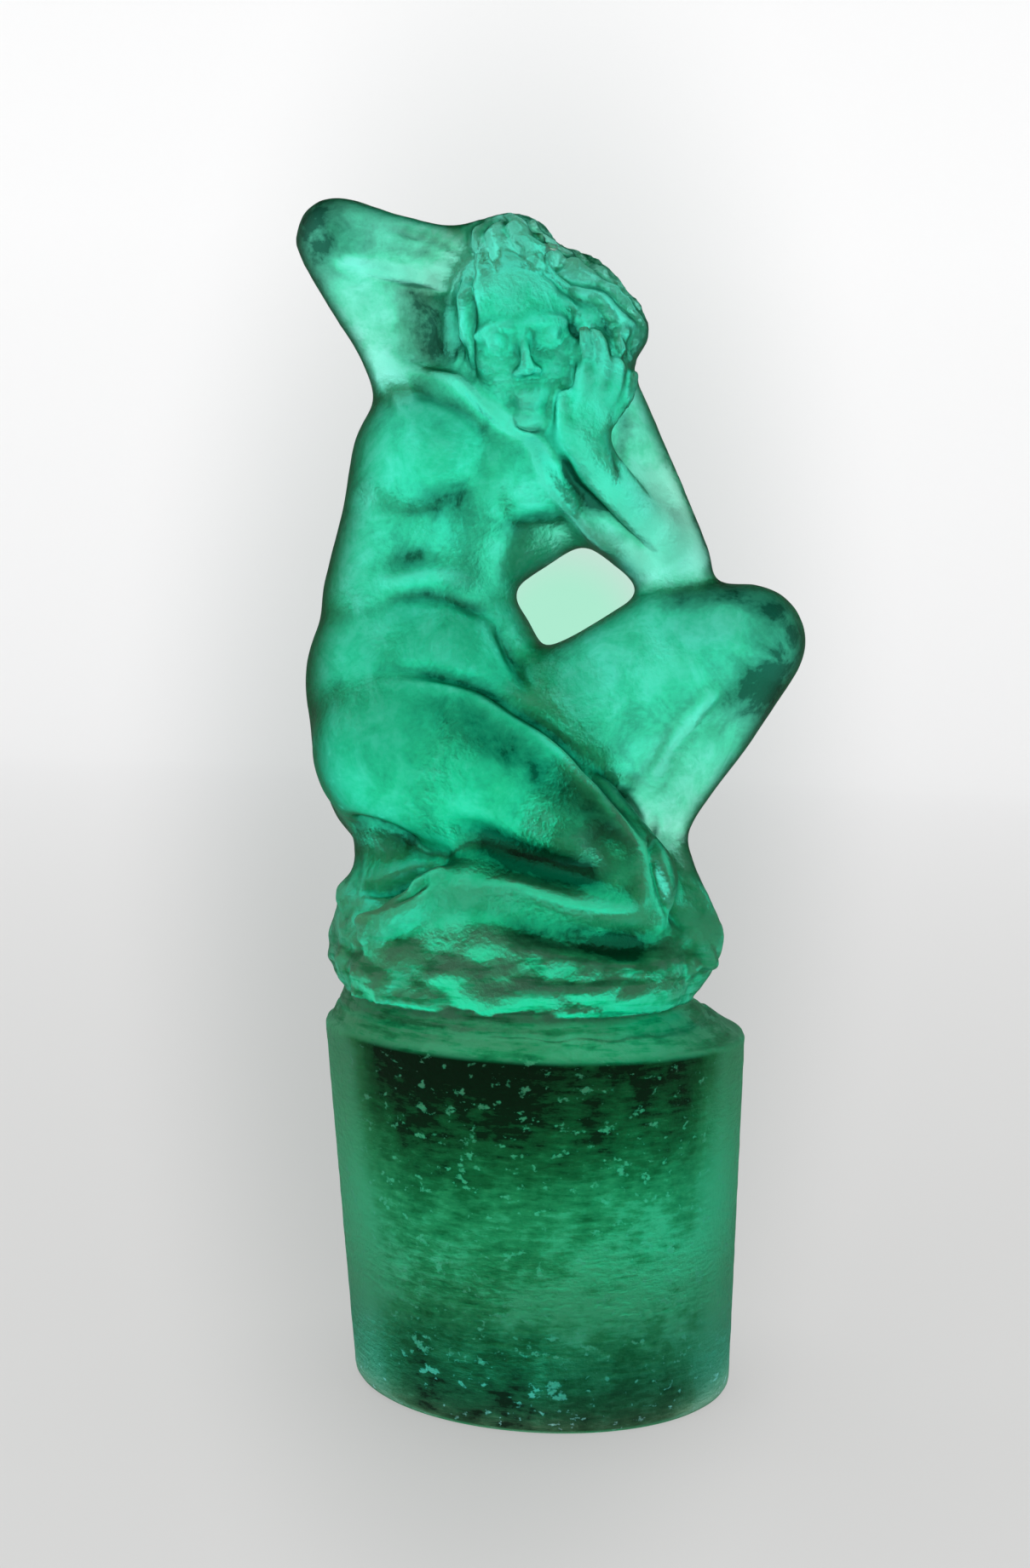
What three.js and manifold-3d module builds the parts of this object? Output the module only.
// A figural ground-glass stopper, standing on the flat end of its plug. Millimetres, +Z up, front to -Y.
// The real stopper is one pressed casting. It is modelled here as the four sections that its own edges
// mark off: the tapered plug that is ground to fit a bottle's neck, the collar above it, the rough rock
// mound, and the seated figure. Each is a closed solid, and SEAM is left between neighbours.
import * as THREE from 'three';
import { mergeVertices } from 'three/addons/utils/BufferGeometryUtils.js';
import Module from 'manifold-3d';

const wasm = await Module();
wasm.setup();

// Driving dimensions, in millimetres unless said
const PLUG_TOP_D = 24; // large end of the ground taper, the size that the joint is named by
const PLUG_LENGTH = 20.3; // ground length
const PLUG_TAPER = 0.115; // diameter lost for each millimetre of length
const PLUG_LEAN = 3.4; // degrees that the ground taper's axis leans to -X, because its end was cut askew
const PLUG_EDGE = 0.5; // rounded break at the plug's bottom edge
const SHOULDER_HEIGHT = 1.25; // slope above the ground part
const NECK_INSET = 2.2; // how much less the neck's radius is than the plug's
const NECK_HEIGHT = 0.4;
const NECK_SHIFT = -1.1; // the neck and mound stand this far off the plug's axis, along X
const MOUND_HEIGHT = 7.35;
const MOUND_OVERHANG = 1; // how far the mound reaches out past the neck
const MOUND_SLOPE = 1.4; // how far its side falls back towards the top
const FIGURE_SCALE = 0.967; // size of the figure against the landmarks below
const FIGURE_LEAN = 2.2; // degrees that the figure leans to -X
const FIGURE_SHIFT = 0.3; // the figure's seat stands this far off the plug's axis, along X
const SEAM = 0.3; // gap between neighbouring sections

// Facets
const ROUND_STEPS = 60; // around the plug and the collar
const ROCK_STEPS = 26; // around the mound's core
const LIMB_STEPS = 12; // around a limb
const ARC_STEPS = 3; // along each rounded limb end

const UP = new THREE.Vector3(0, 0, 1);
const BACK = new THREE.Vector3(0, 1, 0);

// Heights, radii and places that follow
const SHOULDER_Z = PLUG_LENGTH + SEAM;
const NECK_Z = SHOULDER_Z + SHOULDER_HEIGHT;
const NECK_TOP_Z = NECK_Z + NECK_HEIGHT;
const MOUND_Z = NECK_TOP_Z + SEAM;
const SEAT_Z = MOUND_Z + MOUND_HEIGHT;
const PLUG_TOP_R = PLUG_TOP_D / 2;
const NECK_R = PLUG_TOP_R - NECK_INSET;
const MOUND_R = NECK_R + MOUND_OVERHANG;
const AXIS_SLOPE = -Math.tan(THREE.MathUtils.degToRad(PLUG_LEAN)); // X for each millimetre of Z
const NECK_X = NECK_Z * AXIS_SLOPE + NECK_SHIFT;
const SEAT = new THREE.Vector3(SEAT_Z * AXIS_SLOPE + FIGURE_SHIFT, 0, SEAT_Z);

// The figure's landmarks, from its seat on top of the mound: X, Y, Z.
const JOINTS = {
  pelvis: [-5.9, 0.4, 8.6],
  waist: [-7, 0.2, 14.7],
  chest: [-3.9, 0, 22.2],
  neckBase: [-1.6, 0.6, 25.8],
  head: [-0.3, -2.6, 29.4],
  hair: [2.2, -0.4, 30.9],
  nape: [-3.8, 0.8, 30.4],
  crown: [-1.4, -0.9, 34.8],
  parting: [1.6, -0.6, 33],
  knot: [5.2, -0.7, 30.4],
  leftBreast: [0, -3.3, 21.8],
  rightBreast: [-5.3, -3.4, 22.9],
  leftSeat: [-1.8, 3, 4.6],
  rightSeat: [-8.2, 3, 4.4],
  raisedShoulder: [-7.1, 0.3, 27.4],
  raisedElbow: [-11.5, -0.3, 36],
  raisedWrist: [-4.6, -1.2, 35.2],
  raisedHand: [-2, -2.4, 35.7],
  raisedFinger: [0.7, -3.6, 35.9],
  raisedFingerLow: [0.6, -4.5, 34.6],
  raisedWeb: [-7.4, 0.2, 32.4],
  restedShoulder: [3.7, 1.2, 26.3],
  restedElbow: [8.3, -0.9, 17.1],
  restedWrist: [2.3, -4.4, 23.4],
  restedHand: [2.8, -4.9, 25.6],
  restedFinger: [2.6, -5.5, 29.4],
  restedFingerMid: [3.6, -4.9, 29.4],
  restedFingerFar: [4.6, -4.3, 28.6],
  restedThumb: [1.4, -6.1, 26.4],
  armWeb: [5, -0.8, 21.2],
  raisedHip: [-0.6, -1.4, 7],
  raisedThigh: [7.8, -1.8, 12],
  raisedKnee: [12.3, -1.9, 12.6],
  raisedFold: [8, -1.7, 8.8],
  raisedCalf: [9.5, -1.5, 7.2],
  raisedAnkle: [7.2, -1.5, 1.2],
  raisedHeel: [8.1, -1.9, -2.2],
  raisedToe: [9.5, -3.4, -4.7],
  foldedHip: [-7, -2.6, 6.4],
  foldedThigh: [0.2, -4.6, 3.4],
  foldedKnee: [5.8, -5.2, -1],
  foldedAnkle: [-4.6, -5.8, -1],
  foldedToe: [-8.9, -5, -1.8],
};

// Limbs and trunk: the landmarks at the two ends, the radius at each, and the depth as a share of the width
const LIMBS = [
  ['pelvis', 7.6, 'waist', 5.9, 0.84],
  ['waist', 5.9, 'chest', 6.9, 0.78],
  ['chest', 6.4, 'neckBase', 4, 0.72],
  ['neckBase', 2.9, 'head', 2.9, 1],
  ['neckBase', 2.9, 'raisedShoulder', 2.3, 1],
  ['neckBase', 2.9, 'restedShoulder', 2.6, 1],
  ['raisedShoulder', 2.2, 'raisedElbow', 2.4, 1],
  ['raisedElbow', 2.4, 'raisedWrist', 1.6, 1],
  ['raisedWrist', 1.6, 'raisedHand', 1.5, 1],
  ['raisedHand', 0.9, 'raisedFinger', 0.6, 1],
  ['raisedHand', 0.9, 'raisedFingerLow', 0.6, 1],
  ['raisedElbow', 1.6, 'raisedWeb', 1.9, 0.7],
  ['raisedWeb', 1.9, 'nape', 2.6, 0.8],
  ['restedShoulder', 2.6, 'restedElbow', 2.1, 1],
  ['restedElbow', 2.2, 'restedWrist', 1.4, 1],
  ['restedWrist', 1.4, 'restedHand', 1.4, 1],
  ['restedHand', 0.7, 'restedFinger', 0.5, 1],
  ['restedHand', 0.7, 'restedFingerMid', 0.5, 1],
  ['restedHand', 0.7, 'restedFingerFar', 0.5, 1],
  ['restedHand', 0.7, 'restedThumb', 0.5, 1],
  ['chest', 3, 'armWeb', 2.6, 0.8],
  ['armWeb', 2.6, 'restedElbow', 1.8, 0.8],
  ['raisedHip', 4.2, 'raisedThigh', 4, 1],
  ['raisedThigh', 4, 'raisedKnee', 3.3, 1],
  ['raisedKnee', 3.1, 'raisedCalf', 2.8, 1],
  ['raisedCalf', 2.8, 'raisedAnkle', 1.6, 1],
  ['raisedHip', 3, 'raisedFold', 3.2, 0.8],
  ['raisedFold', 3.2, 'raisedAnkle', 2, 0.8],
  ['raisedHip', 3, 'raisedAnkle', 2.2, 0.8],
  ['raisedAnkle', 1.6, 'raisedHeel', 1.8, 1],
  ['raisedHeel', 1.8, 'raisedToe', 1.6, 1],
  ['foldedHip', 5.4, 'foldedThigh', 4.3, 1],
  ['foldedThigh', 4.3, 'foldedKnee', 3, 1],
  ['foldedKnee', 2.6, 'foldedAnkle', 1.9, 1],
  ['foldedAnkle', 1.9, 'foldedToe', 1.6, 1],
];

// Rounded masses: the landmark at the middle, and half the width, depth and height
const MASSES = [
  ['head', 3.8, 4.4, 5.2],
  ['hair', 4.1, 4.2, 3.5],
  ['nape', 4.2, 3, 4.2],
  ['crown', 2.7, 3, 2.6],
  ['parting', 2.8, 3.2, 2.3],
  ['knot', 1.7, 1.9, 1.8],
  ['leftBreast', 2.4, 2.2, 2.4],
  ['rightBreast', 2.5, 2.3, 2.5],
  ['leftSeat', 4.4, 3.6, 4.4],
  ['rightSeat', 4.6, 3.8, 4.6],
];

// Rock lumps: bearing round the mound in degrees, reach and height as shares of the mound's own, and size
const ROCKS = [
  [176, 0.66, 0.26, 4.4],
  [196, 0.58, 0.4, 4.2],
  [222, 0.72, 0.2, 3.8],
  [246, 0.7, 0.32, 3.6],
  [262, 0.74, 0.2, 3.5],
  [288, 0.66, 0.36, 4.3],
  [316, 0.7, 0.2, 3.8],
  [344, 0.6, 0.34, 3.8],
  [16, 0.62, 0.44, 4],
  [44, 0.66, 0.3, 4.4],
  [72, 0.6, 0.56, 4.8],
  [100, 0.7, 0.28, 4.2],
  [128, 0.58, 0.56, 5],
  [152, 0.7, 0.34, 4.2],
];

/** A closed three.js geometry as a solid that can be joined and cut. */
function solid(geometry) {
  const bare = geometry.clone();
  bare.deleteAttribute('normal');
  bare.deleteAttribute('uv');
  const merged = mergeVertices(bare);
  const index = merged.index.array;
  const triangles = [];
  for (let i = 0; i < index.length; i += 3) {
    const [a, b, c] = [index[i], index[i + 1], index[i + 2]];
    if (a !== b && b !== c && c !== a) triangles.push(a, b, c);
  }
  return new wasm.Manifold(new wasm.Mesh({
    numProp: 3,
    vertProperties: new Float32Array(merged.attributes.position.array),
    triVerts: new Uint32Array(triangles),
  }));
}

/** A solid back as a three.js geometry. */
function geometryOf(body) {
  const mesh = body.getMesh();
  const geometry = new THREE.BufferGeometry();
  geometry.setAttribute('position', new THREE.BufferAttribute(mesh.vertProperties, mesh.numProp));
  geometry.setIndex(new THREE.BufferAttribute(mesh.triVerts, 1));
  geometry.computeVertexNormals();
  return geometry;
}

/** All the solids joined into one. */
function joined(solids) {
  return solids.reduce((whole, piece) => whole.add(piece));
}

/** A shape turned about +Z from [radius, z] points, which start and end on the axis. */
function turned(points, steps = ROUND_STEPS) {
  const profile = points.map(([radius, z]) => new THREE.Vector2(radius, z));
  return new THREE.LatheGeometry(profile, steps).rotateX(Math.PI / 2);
}

/** Points of an arc in a turned profile, from one angle to another, in radians. */
function arc(radius, height, size, from, to, steps) {
  return Array.from({ length: steps + 1 }, (_, i) => {
    const angle = from + ((to - from) * i) / steps;
    return [radius + size * Math.cos(angle), height + size * Math.sin(angle)];
  });
}

/** A landmark of the figure in the part's frame. */
function place(name) {
  return new THREE.Vector3(...JOINTS[name])
    .multiplyScalar(FIGURE_SCALE)
    .applyAxisAngle(BACK, -THREE.MathUtils.degToRad(FIGURE_LEAN))
    .add(SEAT);
}

/** A shape about Z, pushed along X by a slope for each millimetre of its height. */
function leaning(geometry, slope) {
  return geometry.applyMatrix4(new THREE.Matrix4().makeShear(0, 0, 0, 0, slope, 0));
}

/** A tapered limb with round ends between two landmarks, flattened from front to back by a share. */
function limb([startName, startSize, endName, endSize, depth]) {
  const start = place(startName);
  const along = place(endName).sub(start).divide(new THREE.Vector3(1, depth, 1));
  const [r0, r1] = [startSize * FIGURE_SCALE, endSize * FIGURE_SCALE];
  const tangent = Math.asin((r0 - r1) / along.length());
  const profile = [
    ...arc(0, 0, r0, -Math.PI / 2, tangent, ARC_STEPS),
    ...arc(0, along.length(), r1, tangent, Math.PI / 2, ARC_STEPS),
  ];
  profile[0][0] = 0;
  profile[profile.length - 1][0] = 0;
  const turn = new THREE.Quaternion().setFromUnitVectors(UP, along.normalize());
  return turned(profile, LIMB_STEPS)
    .applyQuaternion(turn)
    .scale(1, depth, 1)
    .translate(start.x, start.y, start.z);
}

/** An ellipsoid about a landmark. */
function mass([name, halfWidth, halfDepth, halfHeight]) {
  const centre = place(name);
  return new THREE.SphereGeometry(FIGURE_SCALE, 20, 12)
    .scale(halfWidth, halfDepth, halfHeight)
    .translate(centre.x, centre.y, centre.z);
}

/** The tapered plug, ground to fit a neck, with its flat end at Z = 0. */
function groundPlug() {
  const endR = PLUG_TOP_R - (PLUG_LENGTH * PLUG_TAPER) / 2;
  const taper = turned([
    [0, 0],
    ...arc(endR - PLUG_EDGE, PLUG_EDGE, PLUG_EDGE, -Math.PI / 2, 0, ARC_STEPS),
    [PLUG_TOP_R, PLUG_LENGTH],
    [0, PLUG_LENGTH],
  ]);
  return leaning(taper, AXIS_SLOPE);
}

/** The sloping shoulder above the plug, drawn over to the short neck that stands a little to one side. */
function neckCollar() {
  const cone = turned([[0, 0], [PLUG_TOP_R, 0], [NECK_R, SHOULDER_HEIGHT], [0, SHOULDER_HEIGHT]]);
  const shoulder = leaning(cone, AXIS_SLOPE + NECK_SHIFT / SHOULDER_HEIGHT)
    .translate(SHOULDER_Z * AXIS_SLOPE, 0, SHOULDER_Z);
  const neckR = NECK_R - SEAM;
  const neck = turned([[0, SHOULDER_Z], [neckR, SHOULDER_Z], [neckR, NECK_TOP_Z], [0, NECK_TOP_Z]])
    .translate(NECK_X, 0, 0);
  return joined([solid(shoulder), solid(neck)]);
}

/** The rough mound, with every lump and its core grown by a margin. */
function rockMound(margin) {
  const core = turned([
    [0, MOUND_Z - margin],
    [NECK_R + margin, MOUND_Z - margin],
    [MOUND_R + margin, MOUND_Z + MOUND_HEIGHT * 0.3],
    [MOUND_R - MOUND_SLOPE + margin, MOUND_Z + MOUND_HEIGHT * 0.7],
    [MOUND_R * 0.5 + margin, SEAT_Z + margin],
    [0, SEAT_Z + margin],
  ], ROCK_STEPS).translate(NECK_X, 0, 0);
  const lumps = ROCKS.map(([bearing, reach, rise, size]) => {
    const angle = THREE.MathUtils.degToRad(bearing);
    const out = reach * MOUND_R;
    return solid(new THREE.IcosahedronGeometry(size + margin, 1)
      .rotateZ(angle)
      .translate(NECK_X, 0, MOUND_Z + rise * MOUND_HEIGHT)
      .translate(out * Math.cos(angle), out * Math.sin(angle), 0));
  });
  const underside = solid(new THREE.BoxGeometry(4 * MOUND_R, 4 * MOUND_R, 4 * MOUND_R)
    .translate(0, 0, MOUND_Z - margin - 2 * MOUND_R));
  return joined([solid(core), ...lumps]).subtract(underside);
}

/** The seated figure, cut to sit on the mound with the seam between them. */
function seatedFigure() {
  const body = joined([...LIMBS.map(limb), ...MASSES.map(mass)].map(solid));
  return body.subtract(rockMound(SEAM));
}

/** A named mesh of green glass. */
function section(name, body, colour, roughness) {
  const glass = new THREE.MeshStandardMaterial({ color: colour, roughness, metalness: 0 });
  const mesh = new THREE.Mesh(body.isBufferGeometry ? body : geometryOf(body), glass);
  mesh.name = name;
  return mesh;
}

const stopper = new THREE.Group();
stopper.add(
  section('ground_plug', groundPlug(), '#1d7a5e', 0.6),
  section('neck_collar', neckCollar(), '#1f8a6b', 0.5),
  section('rock_mound', rockMound(0), '#2aa583', 0.45),
  section('figure', seatedFigure(), '#2fb692', 0.4),
);

export default stopper;
